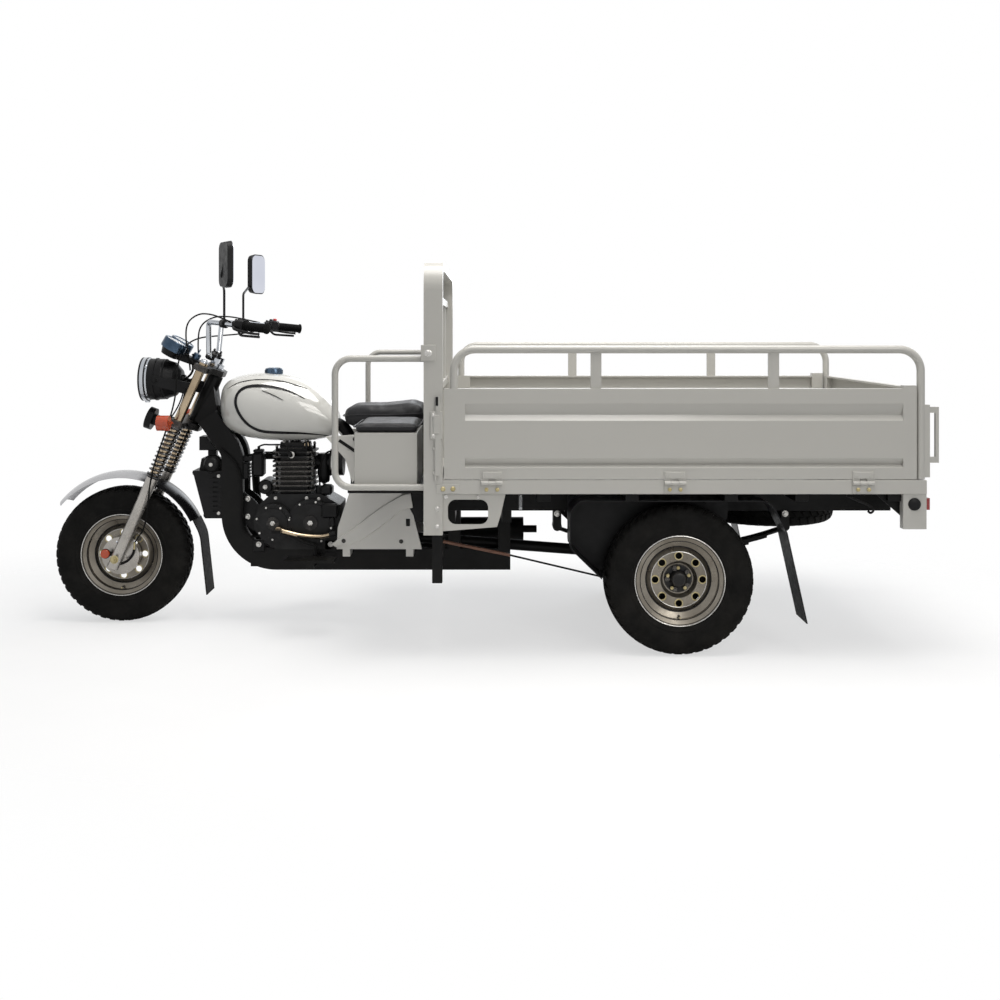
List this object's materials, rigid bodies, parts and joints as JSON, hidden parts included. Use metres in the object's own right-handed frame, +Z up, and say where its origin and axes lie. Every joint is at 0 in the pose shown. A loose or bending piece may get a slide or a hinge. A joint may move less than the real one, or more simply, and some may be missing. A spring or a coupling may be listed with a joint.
{
  "type": "cargo motor tricycle",
  "caption": "Cargo motor tricycle with a motorcycle front end, driver's saddle, side cushions, headboard and a drop-side load bed on two driven rear wheels",
  "frame": {"origin": "on the ground, on the centre plane, halfway along the vehicle", "axes": "+X forward, +Y the vehicle's left, +Z up"},
  "size_m": [3.5029, 1.284, 1.5753],
  "materials": {
    "body_paint": "gloss light grey-white paint",
    "plastic_white": "light grey gloss plastic",
    "chassis_paint": "black satin paint",
    "black_plastic": "black grained plastic",
    "seat_cover": "black vinyl",
    "tyre": "matt black",
    "black_rubber": "matt black",
    "wheel_silver": "silver paint",
    "fork_silver": "polished",
    "fork_bronze": "polished",
    "chrome": "polished",
    "engine_black": "black satin paint on castings",
    "exhaust_black": "heatproof black",
    "lens_clear": "clear",
    "lens_orange": "clear coloured",
    "lens_red": "clear coloured",
    "mirror_glass": "polished",
    "cap_blue": "dark chrome"
  },
  "bodies": {
    "chassis": {"main_frame": "chassis_paint", "bed_chassis": "chassis_paint", "bed_floor": "body_paint", "bed_fittings": "body_paint", "headboard_arch": "body_paint", "headboard_panel": "body_paint", "guard_left": "body_paint", "guard_right": "body_paint", "seat_platform": "chassis_paint", "side_boxes": "body_paint", "side_cushions": "seat_cover", "saddle": "seat_cover", "fuel_tank": "body_paint", "fuel_cap": "cap_blue", "side_covers": "plastic_white", "engine": "engine_black", "carburettor": "black_plastic", "exhaust": "exhaust_black", "radiator": "black_plastic", "foot_controls": "chassis_paint", "leaf_springs": "chassis_paint", "rear_axle": "chassis_paint", "drive_shaft": "chassis_paint", "rear_mudguards": "black_plastic", "tail_brackets": "body_paint", "tail_lamps": "lens_red", "corner_brackets": "body_paint", "step_posts": "chassis_paint", "spare_tyre": "tyre", "spare_rim": "wheel_silver"},
    "fork": {"fork_crowns": "engine_black", "fork_tubes": "fork_bronze", "fork_sliders": "fork_silver", "fork_springs": "chrome", "front_axle": "fork_silver", "handlebar": "chrome", "handlebar_controls": "black_plastic", "mirrors": "black_plastic", "mirror_glasses": "mirror_glass", "headlamp": "black_plastic", "headlamp_lens": "lens_clear", "instruments": "black_plastic", "horn": "black_plastic", "indicators": "lens_orange", "front_mudguard": "plastic_white", "mud_flap": "black_rubber"},
    "front_wheel": {"front_tyre": "tyre", "front_rim": "wheel_silver", "front_hub": "fork_silver"},
    "rear_left_wheel": {"rear_left_tyre": "tyre", "rear_left_rim": "wheel_silver", "rear_left_hub": "engine_black"},
    "rear_right_wheel": {"rear_right_tyre": "tyre", "rear_right_rim": "wheel_silver", "rear_right_hub": "engine_black"},
    "left_drop_side": {"side_board_left": "body_paint", "load_rail_left": "body_paint"},
    "right_drop_side": {"side_board_right": "body_paint", "load_rail_right": "body_paint"},
    "rear_gate": {"tailgate": "body_paint"}
  },
  "joints": [
    {"name": "steering", "type": "hinge", "parent": "chassis", "child": "fork", "pos_m": [1.14313, 0, 0.93898], "axis": [-0.4067, 0, 0.9135], "range_deg": [-38, 38]},
    {"name": "front_wheel_spin", "type": "hinge", "parent": "fork", "child": "front_wheel", "pos_m": [1.484, 0, 0.284], "axis": [0, 1, 0], "continuous": true},
    {"name": "rear_left_wheel_spin", "type": "hinge", "parent": "chassis", "child": "rear_left_wheel", "pos_m": [-0.78, 0.51, 0.284], "axis": [0, 1, 0], "continuous": true},
    {"name": "rear_right_wheel_spin", "type": "hinge", "parent": "chassis", "child": "rear_right_wheel", "pos_m": [-0.78, -0.51, 0.284], "axis": [0, 1, 0], "continuous": true},
    {"name": "left_side_hinge", "type": "hinge", "parent": "chassis", "child": "left_drop_side", "pos_m": [-0.75, 0.634, 0.662], "axis": [-1, 0, 0], "range_deg": [0, 170]},
    {"name": "right_side_hinge", "type": "hinge", "parent": "chassis", "child": "right_drop_side", "pos_m": [-0.75, -0.634, 0.662], "axis": [1, 0, 0], "range_deg": [0, 170]},
    {"name": "gate_hinge", "type": "hinge", "parent": "chassis", "child": "rear_gate", "pos_m": [-1.697, 0, 0.662], "axis": [0, -1, 0], "range_deg": [0, 165]}
  ]
}
